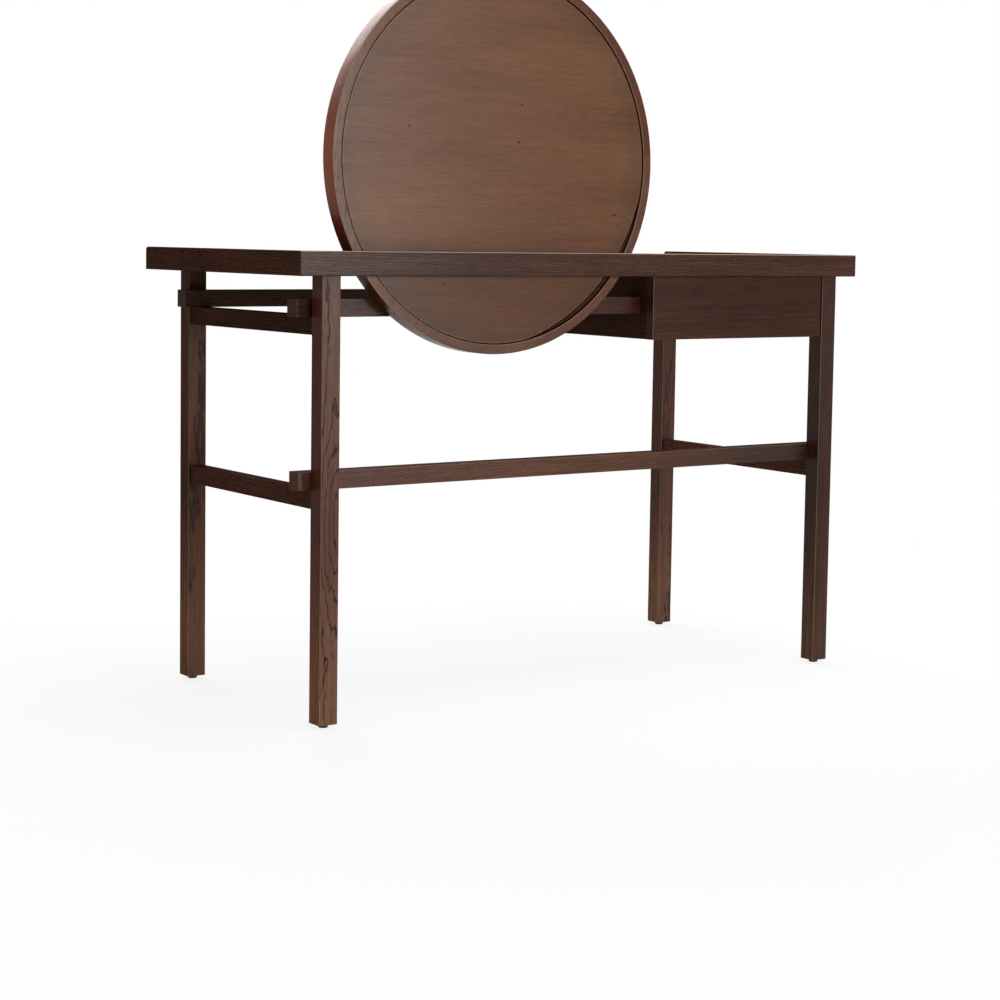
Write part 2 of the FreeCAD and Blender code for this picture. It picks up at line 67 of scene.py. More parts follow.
def ramp(tree, factor, *stops):
    """A colour ramp from (place, colour) stops, where a colour can be one grey number."""
    made = add(tree, "ValToRGB", {0: factor})
    elements = made.color_ramp.elements
    while len(elements) < len(stops):
        elements.new(1.0)
    for element, (place, colour) in zip(elements, stops):
        element.position = place
        grey = isinstance(colour, (int, float))
        element.color = (colour, colour, colour, 1.0) if grey else (*colour, 1.0)
    return made.outputs[0]


def mix(tree, factor, first, second, blend="MIX"):
    sockets = {0: factor, 6: first, 7: second}
    return add(tree, "Mix", sockets, data_type="RGBA", blend_type=blend).outputs[2]


def noise(tree, vector, detail=2.0, roughness=0.5, scale=1.0):
    sockets = {"Vector": vector, "Scale": scale, "Detail": detail, "Roughness": roughness}
    return add(tree, "TexNoise", sockets).outputs["Fac"]


def linear(code):
    """A colour as light, from its six hexadecimal digits."""
    parts = [int(code[place:place + 2], 16) / 255 for place in (0, 2, 4)]
    return tuple(p / 12.92 if p <= 0.04045 else ((p + 0.055) / 1.055) ** 2.4 for p in parts)


def opaque(colour):
    return (*colour, 1.0)


def new_material(name):
    """An empty material, its tree and its principled shader."""
    material = bpy.data.materials.new(name)
    material.use_nodes = True
    tree = material.node_tree
    tree.nodes.clear()
    shader = add(tree, "BsdfPrincipled")
    output = add(tree, "OutputMaterial")
    tree.links.new(shader.outputs[0], output.inputs["Surface"])
    return material, tree, shader


def connect(tree, shader, **sockets):
    """Links or sets the shader's sockets, whose names are written with underscores."""
    for key, value in sockets.items():
        socket = shader.inputs[key.replace("_", " ")]
        if isinstance(value, bpy.types.NodeSocket):
            tree.links.new(value, socket)
        else:
            socket.default_value = value


def bump(tree, height, depth):
    """A normal from a height between 0 and 1 that stands for a depth in metres."""
    return add(tree, "Bump", {"Height": height, "Distance": depth, "Strength": 1.0}).outputs[0]


# Wood

# A thin clear coat of matt lacquer, which gives much the same gloss at all angles
COAT_IOR = 3.0
COAT_DULL = 0.25
RING_COAT_DULL = 0.16
LOW_SHEEN = 0.012

# Where the dark lines and the pores fade in, as (noise, share) stops of a ramp
LINE_STOPS = ((0.55, 0.0), (0.95, 1.0))
PORE_STOPS = ((0.56, 0.0), (0.66, 0.4))

# How strongly the grain shows in colour, dullness and relief. The depth is in metres
RAGGED_EDGE = 2.2
FIBRE_TONE = 0.9
EARLY_TONE = -0.12
PORE_DULL = 0.25
FIBRE_DULL = 0.12
FIBRE_RELIEF = 0.4
GRAIN_DEPTH = 0.00018

STAINED = {
    "pore": linear("110806"),
    "dark": linear("2f170d"),
    "middle": linear("43281c"),
    "light": linear("5c3a2b"),
}
PANEL = {
    "pore": linear("2b1810"),
    "dark": linear("50301a"),
    "middle": linear("633f29"),
    "light": linear("744c32"),
}
RING = {
    "pore": linear("2b170f"),
    "dark": linear("512c18"),
    "middle": linear("673d22"),
    "light": linear("7f5230"),
}
# A pale tone for painted highlights on eased edges
BARE_WOOD_HIGHLIGHT = linear("b9a08e")
# A pale, warm tone for the painted highlight on the back panel's edge and side wall
PANEL_EDGE_HIGHLIGHT = linear("bd9070")
BIRCH = {
    "pore": linear("8a6848"),
    "dark": linear("b08d66"),
    "middle": linear("c7a680"),
    "light": linear("d8bc98"),
}
BEECH = {
    "pore": linear("6f4a30"),
    "dark": linear("a87c58"),
    "middle": linear("bb9069"),
    "light": linear("cba57e"),
}


def lighter(tones, share):
    """The same wood lighter or darker by a share, all but its pores.

    Boards' shares stand partly for their own stain and partly for painted light and shade.
    """
    lit = {name: tuple(share * part for part in colour) for name, colour in tones.items()}
    return {**lit, "pore": tones["pore"]}


def board_place(tree, box):
    """Object coordinates about the middle of a board."""
    place = add(tree, "TexCoord").outputs["Object"]
    return vector_maths(tree, "SUBTRACT", place, (box[0] + box[1]) / 2)


def turned(tree, place, turn):
    """Coordinates turned about Y, so that the grain of a board square to Y runs at an angle."""
    sockets = {"Vector": place, "Angle": turn}
    return add(tree, "VectorRotate", sockets, rotation_type="Y_AXIS").outputs[0]


def stretched(tree, parts, scales, seed):
    """Grain coordinates scaled by one number along the grain and another across it."""
    along = maths(tree, "MULTIPLY", parts[0], scales[0])
    first = maths(tree, "MULTIPLY", parts[1], scales[1])
    second = maths(tree, "MULTIPLY", parts[2], scales[1])
    joined = add(tree, "CombineXYZ", {0: along, 1: first, 2: second}).outputs[0]
    return vector_maths(tree, "ADD", joined, SEED_STEP * seed)


def wood(name, tones, box, axis, pith, spacing=0.0032, tilt=0.03, wobble=0.004, turn=0.0, line=0.3,
         gloss=0.5, sheen=0.05, coat_dull=COAT_DULL, shine=0.0, contrast=1.0, clouds=0.7, lines=0.8,
         side_lines=1.0, jitter=0.0006, swell=None, knots=(), after=None, worn=None, seed=1):
    """A board cut from a log. The pith is where the log's middle lies, seen along the grain.

    Spacing, wobble and jitter are in metres, line is the share of a year that is early wood, gloss is
    the roughness, sheen the weight of the coat and shine the gloss of the wood itself. The function for
    painted light and shade changes the colour of parts of the board with painted light and shade, and
    the two edge highlight shares put a painted highlight, in a pale tone, on its upper and right edges.
    """
    material, tree, shader = new_material(name)
    place = board_place(tree, box)
    split = add(tree, "SeparateXYZ", {0: turned(tree, place, turn) if turn else place}).outputs
    parts = [split[(axis + step) % 3] for step in range(3)]

    # Growth rings round the pith, which leans against the board and wanders a little
    sockets = {"Vector": stretched(tree, parts, WOBBLE_SCALE, seed), "Detail": 3.0}
    wander = add(tree, "TexNoise", sockets).outputs["Color"]
    wander = vector_maths(tree, "SUBTRACT", wander, (0.5, 0.5, 0.5))
    wander = vector_maths(tree, "MULTIPLY", wander, (2 * wobble, 2 * wobble, 0.0))
    first = maths(tree, "SUBTRACT", parts[1], pith[0])
    second = maths(tree, "MULTIPLY_ADD", parts[0], tilt, maths(tree, "SUBTRACT", parts[2], pith[1]))
    if swell:
        second = maths(tree, "SUBTRACT", second, dip(tree, parts[0], *swell))
    for knot in knots:
        first = around_knot(tree, place, first, knot)
    section = add(tree, "CombineXYZ", {0: first, 1: second}).outputs[0]
    radius = vector_maths(tree, "LENGTH", vector_maths(tree, "ADD", section, wander))
    rough = noise(tree, stretched(tree, parts, JITTER_SCALE, seed + 4), detail=3.0, roughness=0.7)
    radius = maths(tree, "MULTIPLY_ADD", rough, 2 * jitter, radius)
    year = maths(tree, "FRACT", maths(tree, "DIVIDE", radius, spacing))
    early = ramp(
        tree, year,
        (0.0, 0.85), (line / 2, 1.0), (line, 0.5), (2 * line, 0.1), (0.97, 0.0), (1.0, 0.85),
    )

    # Ragged dark lines of large pores at each ring, small pores between them, fibres and clouds
    fibre = noise(tree, stretched(tree, parts, FIBRE_SCALE, seed + 2), detail=4.0, roughness=0.65)
    ragged = noise(tree, stretched(tree, parts, PORE_SCALE, seed + 1), detail=3.0, roughness=0.6)
    dark = maths(tree, "MULTIPLY_ADD", maths(tree, "SUBTRACT", ragged, 0.5), RAGGED_EDGE, early)
    dark = maths(tree, "MULTIPLY", ramp(tree, dark, *LINE_STOPS), lines)
    if side_lines != 1.0:
        share = maths(tree, "MULTIPLY_ADD", facing_sideways(tree), side_lines - 1, 1.0)
        dark = maths(tree, "MULTIPLY", dark, share)
    pore = maths(tree, "MULTIPLY", ramp(tree, ragged, *PORE_STOPS), contrast)
    holes = maths(tree, "MAXIMUM", dark, pore)
    cloud = noise(tree, stretched(tree, parts, CLOUD_SCALE, seed + 3), detail=2.0)

    tone = maths(tree, "MULTIPLY_ADD", maths(tree, "SUBTRACT", fibre, 0.5), FIBRE_TONE * contrast, 0.5)
    tone = maths(tree, "MULTIPLY_ADD", early, EARLY_TONE * lines, tone)
    tone = maths(tree, "MULTIPLY_ADD", maths(tree, "SUBTRACT", cloud, 0.5), clouds, tone)
    colour = ramp(tree, tone, (0.1, tones["dark"]), (0.5, tones["middle"]), (0.95, tones["light"]))
    # Painted light and shade on parts of the board
    if after:
        colour = after(tree, place, colour)
    colour = mix(tree, holes, colour, opaque(tones["pore"]))
    # Painted highlight, in a pale tone, on the eased edges that look up or towards +X
    if worn:
        colour = mix(tree, arris(tree, *worn), colour, opaque(BARE_WOOD_HIGHLIGHT))
    for knot in knots:
        colour = knot_colour(tree, place, colour, knot, tones)

    height = maths(tree, "SUBTRACT", maths(tree, "MULTIPLY", fibre, FIBRE_RELIEF), holes)
    dull = maths(tree, "MULTIPLY_ADD", holes, PORE_DULL, gloss)
    dull = maths(tree, "MULTIPLY_ADD", maths(tree, "SUBTRACT", fibre, 0.5), FIBRE_DULL, dull)
    normal = bump(tree, height, GRAIN_DEPTH)
    connect(tree, shader, Base_Color=colour, Roughness=dull, Normal=normal, Coat_Normal=normal)
    shader.inputs["Specular IOR Level"].default_value = shine
    shader.inputs["Coat Weight"].default_value = sheen
    shader.inputs["Coat IOR"].default_value = COAT_IOR
    shader.inputs["Coat Roughness"].default_value = coat_dull
    return material


def facing(tree):
    """The three parts of the direction a surface looks in, along the object's axes."""
    normal = add(tree, "TexCoord").outputs["Normal"]
    return add(tree, "SeparateXYZ", {0: normal}).outputs


# An eased edge looks neither square to an axis nor along it
EDGE_STOPS = ((0.15, 0.0), (0.4, 1.0), (0.85, 1.0), (0.98, 0.0))
SIDE_STOPS = ((0.15, 0.0), (0.4, 1.0))


def eased_edge(tree):
    """One on the eased edges round the faces that look along Y."""
    return ramp(tree, maths(tree, "ABSOLUTE", facing(tree)[ALONG_Y]), *EDGE_STOPS)


def arris(tree, up, right):
    """A share on those of these edges that look up, and another on those that look towards +X: where a
    painted highlight goes.
    """
    x, _, z = facing(tree)
    up = maths(tree, "MULTIPLY", ramp(tree, z, *SIDE_STOPS), up)
    right = maths(tree, "MULTIPLY", ramp(tree, x, *SIDE_STOPS), right)
    return maths(tree, "MULTIPLY", eased_edge(tree), maths(tree, "MAXIMUM", up, right))


def facing_sideways(tree):
    """Zero on faces that look along Y and one on those that look square to it."""
    return maths(tree, "SUBTRACT", 1.0, maths(tree, "ABSOLUTE", facing(tree)[ALONG_Y]))


def tinted(tree, colour, tint, where):
    """The colour times a tint, as far as the mask says."""
    return mix(tree, where, colour, mix(tree, 1.0, colour, opaque(tint), blend="MULTIPLY"))


def coordinate(tree, place, axis):
    """How far a place lies from the board's middle along one axis."""
    return add(tree, "SeparateXYZ", {0: place}).outputs[axis]


# Tints of painted light and shade that multiply a wood's own colour, and where they fade in, in metres
# from a board's middle

# Painted shade, darker and redder, on the sides of a leg
SIDE_SHADE_TINT = (0.9, 0.68, 0.55)
# Painted light that the floor throws onto the foot of a leg
FOOT_FLOOR_LIGHT_TINT = (1.55, 1.85, 1.9)
FOOT_SIDE_FLOOR_LIGHT_TINT = (1.7, 1.7, 1.6)
FOOT_FLOOR_LIGHT_FADE = (0.0357, 0.2857)
# Painted shade on the stretcher's left end
STRETCHER_END_SHADE_TINT = (0.38, 0.5, 0.6)
STRETCHER_END_SHADE_FADE = (0.1, 0.4)


def painted_side_shade(tree, place, colour):
    """A leg with painted floor light on its foot and painted shade, darker and redder, on faces that look
    along X.
    """
    return tinted(tree, painted_floor_light(tree, place, colour), SIDE_SHADE_TINT, facing_sideways(tree))


def painted_floor_light(tree, place, colour):
    """Painted light from the floor: a leg is a little lighter towards the floor, more so on faces that
    look towards +X.
    """
    start, end = FOOT_FLOOR_LIGHT_FADE
    drop = maths(tree, "MULTIPLY", coordinate(tree, place, ALONG_Z), -1.0)
    low = ramp(tree, drop, (start, 0.0), (end, 1.0))
    right = maths(tree, "MAXIMUM", facing(tree)[ALONG_X], 0.0)
    colour = tinted(tree, colour, FOOT_FLOOR_LIGHT_TINT, low)
    return tinted(tree, colour, FOOT_SIDE_FLOOR_LIGHT_TINT, maths(tree, "MULTIPLY", low, right))


def painted_left_end_shade(tree, place, colour):
    """Painted shade: the stretcher is darker in its last stretch before the left legs."""
    start, end = STRETCHER_END_SHADE_FADE
    left = maths(tree, "MULTIPLY", coordinate(tree, place, ALONG_X), -1.0)
    return tinted(tree, colour, STRETCHER_END_SHADE_TINT, ramp(tree, left, (start, 0.0), (end, 1.0)))


# Painted light and shade on the ring: painted shade on the left of its front and back, on its inner face,
# on its outer edges and below the desk's top, and above the desk a warmer outer face that is partly stain
# and partly painted light bouncing off the desk
RING_LEFT_SHADE_TINT = (0.86, 0.64, 0.5)
RING_LEFT_SHADE_FADE = (0.0, 0.2)
RING_EDGE_SHADE_TINT = (0.4, 0.27, 0.2)
RING_INSIDE_SHADE_TINT = (0.55, 0.48, 0.42)
RING_LOW_SHADE_TINT = (0.55, 0.45, 0.4)
RING_OUTER_STAIN_AND_LIGHT_TINT = (1.75, 1.0, 0.5)
RING_RIGHT_OUTER_STAIN_AND_LIGHT_TINT = (2.9, 1.5, 0.5)

# Heights on the ring are counted from this far below its middle, because a ramp starts at zero
RING_FOOT = 0.3
RING_OUTER_FADE = (0.1, 0.25)

# Shares of the painted highlight on the ring's edges that look up and towards +X, and how much stays on
# the inner ones
RING_EDGE_HIGHLIGHT = (1.0, 0.7)
RING_INNER_EDGE_HIGHLIGHT = 0.45

# The outer and inner faces of the ring, by how squarely they look away from its middle or towards it
OUTER_STOPS = ((0.85, 0.0), (0.97, 1.0))
INNER_STOPS = ((0.8, 0.0), (0.95, 1.0))


def ring_faces(tree, place, colour, outer):
    """The ring's outer face is warmer above the desk, partly a warmer stain and partly painted light
    bouncing off the desk, and darker below its top, as painted shade.

    Its front and back carry painted shade, darker and warmer, on the left, the drawer's side, and its
    inner face painted shade. The edges of the outer face carry painted shade, with a painted highlight
    in a pale tone on those that look up or towards +X.
    """
    outward = vector_maths(tree, "NORMALIZE", vector_maths(tree, "MULTIPLY", place, (1.0, 0.0, 1.0)))
    normal = add(tree, "TexCoord").outputs["Normal"]
    out = vector_maths(tree, "DOT_PRODUCT", normal, outward)
    # Painted shade, darker and warmer, on the left of the front and back
    start, end = RING_LEFT_SHADE_FADE
    left = maths(tree, "MULTIPLY", coordinate(tree, place, ALONG_X), -1.0)
    left = ramp(tree, left, (start, 0.0), (end, 1.0))
    flat = maths(tree, "SUBTRACT", 1.0, facing_sideways(tree))
    colour = tinted(tree, colour, RING_LEFT_SHADE_TINT, maths(tree, "MULTIPLY", left, flat))
    # Outer face: painted shade below the desk's top, and above it a warmer stain with painted light
    start, end = RING_OUTER_FADE
    height = maths(tree, "ADD", coordinate(tree, place, ALONG_Z), RING_FOOT)
    high = ramp(tree, height, (start, RING_LOW_SHADE_TINT), (end, outer))
    outer_face = ramp(tree, out, *OUTER_STOPS)
    colour = mix(tree, outer_face, colour, mix(tree, 1.0, colour, high, blend="MULTIPLY"))
    # Painted shade on the outer face's edges
    outer_edge = maths(tree, "MULTIPLY", eased_edge(tree), ramp(tree, out, (0.1, 0.0), (0.2, 1.0)))
    colour = tinted(tree, colour, RING_EDGE_SHADE_TINT, outer_edge)
    # Painted highlight, in a pale tone, on edges that look up or towards +X, less on the inner ones
    worn = ramp(tree, out, (0.0, RING_INNER_EDGE_HIGHLIGHT), (0.2, 1.0))
    colour = mix(tree, maths(tree, "MULTIPLY", arris(tree, *RING_EDGE_HIGHLIGHT), worn), colour, opaque(BARE_WOOD_HIGHLIGHT))
    # Painted shade on the inner face
    inner_face = ramp(tree, maths(tree, "MULTIPLY", out, -1.0), *INNER_STOPS)
    return tinted(tree, colour, RING_INSIDE_SHADE_TINT, inner_face)


def dip(tree, along, centre, depth, reach):
    """How far the pith lies off its line: nothing at one place, and the full depth away from it."""
    far = maths(tree, "DIVIDE", maths(tree, "SUBTRACT", along, centre), reach)
    fall = maths(tree, "EXPONENT", maths(tree, "MULTIPLY", maths(tree, "MULTIPLY", far, far), -1.0))
    return maths(tree, "MULTIPLY_ADD", fall, -depth, depth)


# Painted shade in the back panel's margin and below the desk's top
PANEL_MARGIN_RADIUS = 0.29
PANEL_MARGIN_SHADE_TINT = (0.78, 0.86, 0.92)
PANEL_MARGIN_SCALE = 30.0
PANEL_MARGIN_WANDER = 0.04
PANEL_LOW_SHADE_TINT = (0.76, 0.75, 0.74)
PANEL_LOW_SHADE_FADE = (0.12, 0.2)


def edge_shade(tree, place, colour):
    """Painted shade, greyer and darker, in the back panel's margin, painted shade below the desk's top,
    and a painted highlight in a pale, warm tone on the panel's edge and side wall.
    """
    flat = vector_maths(tree, "MULTIPLY", place, (1.0, 0.0, 1.0))
    far = maths(tree, "DIVIDE", vector_maths(tree, "LENGTH", flat), PANEL_MARGIN_RADIUS)
    uneven = maths(tree, "SUBTRACT", noise(tree, place, detail=3.0, scale=PANEL_MARGIN_SCALE), 0.5)
    far = maths(tree, "MULTIPLY_ADD", uneven, PANEL_MARGIN_WANDER, far)
    # Painted shade, greyer and darker, in the margin
    margin = ramp(tree, far, (0.9, 0.0), (0.98, 0.6), (1.0, 0.9))
    colour = tinted(tree, colour, PANEL_MARGIN_SHADE_TINT, margin)
    # Painted shade below the desk's top
    start, end = PANEL_LOW_SHADE_FADE
    low = maths(tree, "MULTIPLY", coordinate(tree, place, ALONG_Z), -1.0)
    colour = tinted(tree, colour, PANEL_LOW_SHADE_TINT, ramp(tree, low, (start, 0.0), (end, 1.0)))
    # Painted highlight, in a pale warm tone, on the panel's eased edge and side wall
    panel_highlight = maths(tree, "MAXIMUM", eased_edge(tree), facing_sideways(tree))
    return mix(tree, panel_highlight, colour, opaque(PANEL_EDGE_HIGHLIGHT))


# Knots are ovals that lie along the grain. The reach is in metres
KNOT_REACH = 0.02
KNOT_FLATTEN = 2.2


def knot_distance(tree, place, knot):
    """The distance from a knot's middle as a share of its size."""
    x, z, size = knot
    flat = vector_maths(tree, "MULTIPLY", place, (1.0, 0.0, KNOT_FLATTEN))
    return maths(tree, "DIVIDE", vector_maths(tree, "DISTANCE", flat, (x, 0.0, z * KNOT_FLATTEN)), size)


def around_knot(tree, place, across, knot):
    """Grain that bends aside where it passes a small knot."""
    near = maths(tree, "DIVIDE", knot_distance(tree, place, knot), KNOT_REACH / knot[2] / 2)
    push = maths(tree, "EXPONENT", maths(tree, "MULTIPLY", near, -1.0))
    return maths(tree, "MULTIPLY_ADD", push, knot[2], across)


def knot_colour(tree, place, colour, knot, tones):
    """The colour with a knot as dark as the pores."""
    mask = ramp(tree, knot_distance(tree, place, knot), (0.35, 1.0), (1.0, 0.0))
    return mix(tree, mask, colour, opaque(tones["pore"]))


def dress(names, material):
    """Gives CAD nodes one material in every slot."""
    for name in names if isinstance(names, (list, tuple)) else [names]:
        mesh = nodes[name].data
        mesh.materials.clear()
        mesh.materials.append(material)


def board(name, tones, axis, pith, **looks):
    """Dresses one CAD node in its own wood."""
    dress(name, wood(name + "_wood", tones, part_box(name), axis, pith, **looks))


def dress_frame():
    # Each board's share of STAINED stands partly for its own stain and partly for painted light and shade
    # Legs stand with their grain upright: the first number of a pith is along X, the second along Y
    board("leg_back_right", lighter(STAINED, 1.62), ALONG_Z, (-0.013, 0.0205), spacing=0.0078, tilt=0.0,
          wobble=0.005, swell=(-0.035, 0.03, 0.12), jitter=0.0009, line=0.17, lines=1.0,
          side_lines=0.3, after=painted_side_shade, worn=(0.0, 0.3), seed=11)
    board("leg_front_right", lighter(STAINED, 1.35), ALONG_Z, (0.02, 0.25), spacing=0.0065, tilt=0.01,
          lines=0.7, sheen=0.024, after=painted_floor_light, worn=(0.0, 0.3), seed=12)
    # The low share of leg_back_left is painted shade
    board("leg_back_left", lighter(STAINED, 0.75), ALONG_Z, (0.16, 0.03), spacing=0.0055, tilt=0.01,
          lines=0.5, after=painted_floor_light, worn=(0.0, 0.3), seed=13)
    board("leg_front_left", lighter(STAINED, 1.25), ALONG_Z, (0.02, 0.22), spacing=0.0055, tilt=0.01,
          lines=0.6, after=painted_floor_light, worn=(0.0, 0.3), seed=14)

    # Boards along X: the first number is along Y, the second along Z
    board("top_panel", STAINED, ALONG_X, (0.05, -0.09), spacing=0.0055, tilt=0.035, wobble=0.004,
          lines=0.6, seed=21)
    board("rim_back", STAINED, ALONG_X, (0.02, 0.3), spacing=0.0034, tilt=0.008, contrast=1.4,
          worn=(0.7, 0.0), seed=22)
    board("rail_upper_front", STAINED, ALONG_X, (0.01, 0.2), spacing=0.0036, tilt=0.01, seed=23)
    board("rail_upper_back", STAINED, ALONG_X, (0.01, 0.2), spacing=0.0036, tilt=0.01, seed=24)
    board("stretcher_back", lighter(STAINED, 1.65), ALONG_X, (0.02, 0.25), spacing=0.0034, tilt=0.012,
          lines=0.6, sheen=0.057, after=painted_left_end_shade, worn=(0.3, 0.0), seed=25)
    board("case_back_panel", lighter(STAINED, 0.72), ALONG_X, (-0.08, 0.03), spacing=0.0055, tilt=0.03,
          wobble=0.004, line=0.35, lines=0.3, jitter=0.0002, contrast=0.8, sheen=0.039,
          worn=(0.0, 0.3), seed=26)
    board("drawer_front", STAINED, ALONG_X, (0.06, 0.01), spacing=0.0045, tilt=0.03, wobble=0.005,
          lines=0.6, seed=27)

    # Boards along Y: the first number is along Z, the second along X
    # The high share of rim_left is painted light: light bouncing off the desk top onto its inner face
    for name, share, seed in (
        ("rim_left", 2.2, 31), ("rim_right", 1.25, 32), ("cross_rail_lower_left", 1.5, 33),
        ("cross_rail_lower_right", 1.4, 34), ("cross_rail_upper_right", 1.0, 35),
    ):
        board(name, lighter(STAINED, share), ALONG_Y, (0.25, 0.02), spacing=0.0036, tilt=0.01,
              sheen=LOW_SHEEN, seed=seed)
    board("case_outer_side", STAINED, ALONG_Y, (0.01, 0.05), spacing=0.0045, tilt=0.03, lines=0.5,
          seed=36)
    # The low share of case_inner_side is partly painted shade
    board("case_inner_side", lighter(STAINED, 0.8), ALONG_Y, (0.01, -0.05), spacing=0.0045, tilt=0.03,
          lines=0.2, sheen=LOW_SHEEN, seed=37)


def dress_mirror():
    # Knots are (x, z, radius) from the middle of the panel, seen from the front
    knots = [
        (0.179, 0.051, 0.0055), (-0.245, -0.086, 0.006), (-0.045, 0.094, 0.005),
        (-0.039, 0.032, 0.0055), (-0.254, -0.105, 0.003), (0.108, -0.2055, 0.0045),
    ]
    board("mirror_back_panel", PANEL, ALONG_X, (-0.06, 0.03), spacing=0.012, tilt=0.05, wobble=0.02,
          lines=0.12, contrast=0.65, clouds=0.9, sheen=0.055, knots=knots, after=edge_shade, seed=41)
    # The strip sits in the crescent's recess; its low share is partly painted shade there
    board("mirror_back_strip", lighter(PANEL, 0.35), ALONG_X, (0.1, 0.0), turn=math.radians(45),
          sheen=LOW_SHEEN, seed=42)

    # Each ring segment has its own turn of the grain, and a stain and outer-face tint that are partly
    # painted light and shade.
    # All three are dressed about the middle of the back panel, which is the ring's own
    for name, turn, share, outer, seed in (
        ("upper", 31, 0.74, RING_OUTER_STAIN_AND_LIGHT_TINT, 43), ("lower", -64, 0.66, RING_OUTER_STAIN_AND_LIGHT_TINT, 44),
        ("right", 95, 0.76, RING_RIGHT_OUTER_STAIN_AND_LIGHT_TINT, 45),
    ):
        dress(f"mirror_ring_{name}", wood(
            f"ring_{name}_wood", lighter(RING, share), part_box("mirror_back_panel"), ALONG_X, (0.02, 0.2),
            spacing=0.003, tilt=0.02, turn=math.radians(turn), lines=0.3, contrast=0.9, gloss=0.2,
            sheen=0.058, coat_dull=RING_COAT_DULL, shine=0.04, after=partial(ring_faces, outer=outer),
            seed=seed))
    # The core shows only at the bottom of the groove round the back panel; its low share is partly painted
    # shade there
    board("mirror_core", lighter(PANEL, 0.3), ALONG_X, (0.3, 0.0), sheen=LOW_SHEEN, seed=47)


def dress_plain_wood():
    for name, axis, seed in (
        ("drawer_side_left", ALONG_Y, 51), ("drawer_side_right", ALONG_Y, 52),
        ("drawer_inner_front", ALONG_X, 53), ("drawer_back", ALONG_X, 54),
        ("drawer_bottom", ALONG_Y, 55), ("case_bottom_panel", ALONG_X, 56),
    ):
        board(name, BIRCH, axis, (0.06, 0.09), spacing=0.005, contrast=0.5, gloss=0.45, seed=seed)
    for name, axis, seed in (
        ("runner_cleat", ALONG_Y, 61), ("case_blocks", ALONG_Y, 62), ("rim_dowels", ALONG_X, 63),
        ("leg_dowels", ALONG_Z, 64), ("rail_dowels", ALONG_Z, 65), ("case_dowels", ALONG_Y, 66),
        ("drawer_dowels", ALONG_X, 67),
    ):
        board(name, BEECH, axis, (0.06, 0.09), spacing=0.004, contrast=0.6, gloss=0.6, seed=seed)


# Metal, plastic, rubber and glass. Scales are in repeats per metre, and depths in metres

SKIN_SCALE = 900.0
SKIN_TONE_SCALE = 60.0
SKIN_DEPTH = 0.00008
SKIN_DULL = 0.2
SKIN_DARK, SKIN_LIGHT = 0.75, 1.3
SPANGLE_SCALE = 350.0
DRAWN_SCALE = (1600.0, 25.0, 1600.0)
DRAWN_DEPTH = 0.00003
DUST_SCALE = 40.0


def moulded(name, colour, roughness):
    """Plastic, rubber or paint with a fine skin texture and slightly uneven tone."""
    material, tree, shader = new_material(name)
    place = add(tree, "TexCoord").outputs["Object"]
    fine = noise(tree, place, detail=3.0, scale=SKIN_SCALE)
    broad = noise(tree, place, detail=2.0, scale=SKIN_TONE_SCALE)
    dark, light = (opaque([part * share for part in colour]) for share in (SKIN_DARK, SKIN_LIGHT))
    tone = mix(tree, broad, dark, light)
    dull = maths(tree, "MULTIPLY_ADD", fine, SKIN_DULL, roughness)
    connect(tree, shader, Base_Color=tone, Roughness=dull, Normal=bump(tree, fine, SKIN_DEPTH))
    return material


def zinc_steel():
    """Zinc plate with faint spangle and drawing lines along Y."""
    material, tree, shader = new_material("zinc_steel")
    place = add(tree, "TexCoord").outputs["Object"]
    spangle = add(tree, "TexVoronoi", {"Vector": place, "Scale": SPANGLE_SCALE}).outputs["Color"]
    lines = noise(tree, vector_maths(tree, "MULTIPLY", place, DRAWN_SCALE), detail=3.0)
    tone = mix(tree, spangle, opaque(linear("8f9193")), opaque(linear("b4b5b3")))
    tone = mix(tree, maths(tree, "MULTIPLY", lines, 0.5), tone, opaque(linear("6e6f70")))
    dull = maths(tree, "MULTIPLY_ADD", lines, 0.25, 0.25)
    normal = bump(tree, lines, DRAWN_DEPTH)
    connect(tree, shader, Base_Color=tone, Metallic=1.0, Roughness=dull, Normal=normal)
    return material


def silvered_glass():
    """A silvered mirror, with faint dust so that it isn't perfectly even."""
    material, tree, shader = new_material("silvered_glass")
    place = add(tree, "TexCoord").outputs["Object"]
    dust = noise(tree, place, detail=5.0, scale=DUST_SCALE)
    dull = ramp(tree, dust, (0.45, 0.015), (0.8, 0.05))
    tone = mix(tree, dust, opaque((0.86, 0.88, 0.88)), opaque((0.9, 0.91, 0.9)))
    connect(tree, shader, Base_Color=tone, Metallic=1.0, Roughness=dull)
    return material


def dress_fittings():
    zinc = zinc_steel()
    steel = moulded("black_steel", linear("2a2a2b"), 0.45)
    plastic = moulded("black_plastic", linear("0f0f0f"), 0.5)
    runners = [f"runner_{part}_{side}" for part in ("channel", "bar") for side in ("left", "right")]
    screws = [f"{part}_screws" for part in ("channel", "bar", "block", "front", "hanger")]
    dress(runners + screws, zinc)
    dress("mirror_hangers", steel)
    dress(["foot_glides", "hanger_pads"], plastic)
    dress("drawer_bumpers", moulded("rubber", linear("262524"), 0.7))
    dress("mirror_glass", silvered_glass())


# Edges of the boards, eased a little so that joints and arrises show

EASED = (
    "rim_back", "rim_left", "rim_right", "leg_back", "leg_front", "rail_upper", "stretcher",
    "cross_rail", "mirror_ring", "mirror_back", "case_back",
)
EDGE_EASE = 0.0009
EDGE_STEPS = 2
EDGE_ANGLE = math.radians(35)
WELD_REACH = 0.00001


